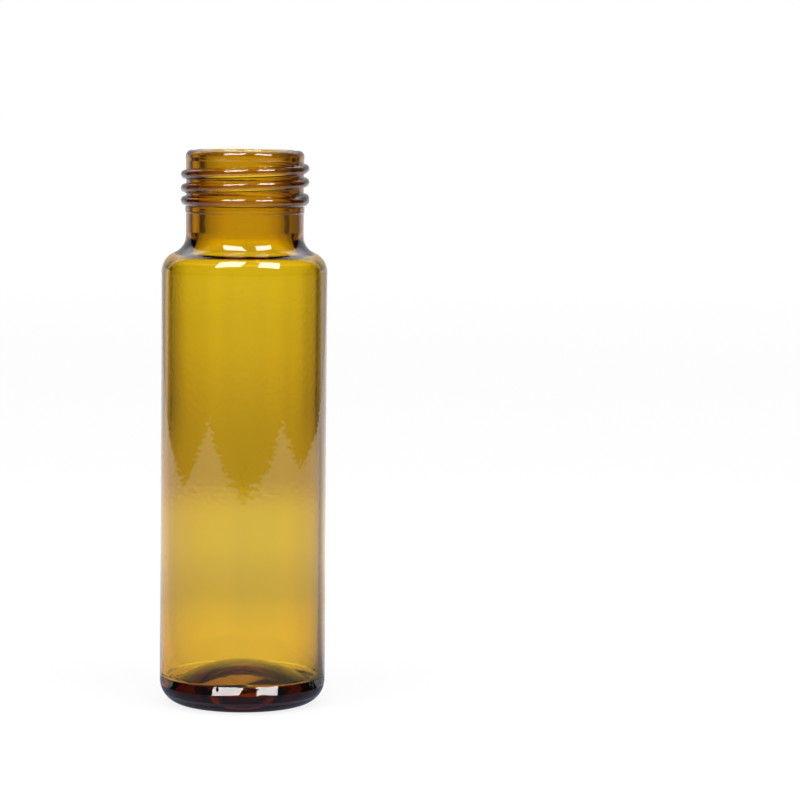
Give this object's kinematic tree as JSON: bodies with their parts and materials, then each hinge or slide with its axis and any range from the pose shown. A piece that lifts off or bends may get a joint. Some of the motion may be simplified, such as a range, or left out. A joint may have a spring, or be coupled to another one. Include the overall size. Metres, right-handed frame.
{
  "type": "glass sample vial",
  "caption": "Amber glass sample vial with a straight body, rounded shoulder, narrow neck with an external screw thread and a thick rounded base.",
  "frame": {"origin": "on the vial's axis, in the plane of the ring that it stands on", "axes": "+Z along the vial's axis, up through the mouth"},
  "size_m": [0.0226, 0.0226, 0.0755],
  "materials": {
    "amber_glass": "clear fire-polished amber glass"
  },
  "bodies": {
    "root": {"vial": "amber_glass"}
  },
  "joints": []
}
